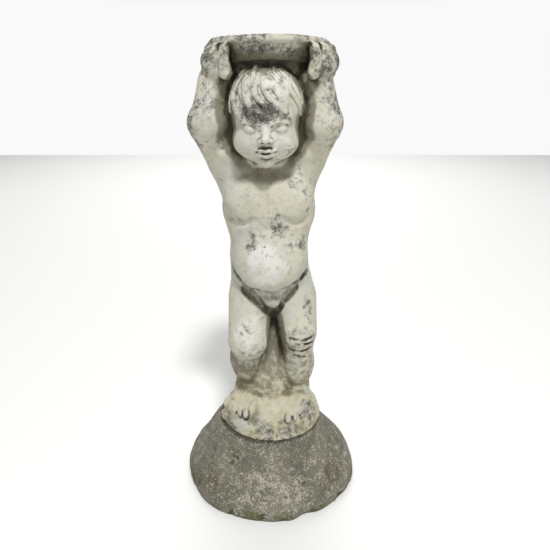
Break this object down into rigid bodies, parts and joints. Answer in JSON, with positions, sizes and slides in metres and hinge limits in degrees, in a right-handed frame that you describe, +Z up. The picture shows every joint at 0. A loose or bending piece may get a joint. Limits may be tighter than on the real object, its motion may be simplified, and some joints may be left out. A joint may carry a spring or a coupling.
{
  "type": "cherub garden statue",
  "caption": "Standing child figure in cast concrete, arms raised to hold a shallow bowl overhead, feet on a low mound bedded on a wide bell-shaped foot.",
  "frame": {"origin": "middle of the foot's underside, on the ground", "axes": "+Z up, the figure faces -Y, +X toward the figure's left arm"},
  "size_m": [0.3196, 0.3244, 0.7648],
  "materials": {
    "figure_concrete": "weathered pale cast concrete",
    "base_concrete": "coarse weathered grey concrete with moss"
  },
  "bodies": {
    "root": {"cherub_figure": "figure_concrete", "round_base": "base_concrete"}
  },
  "joints": []
}
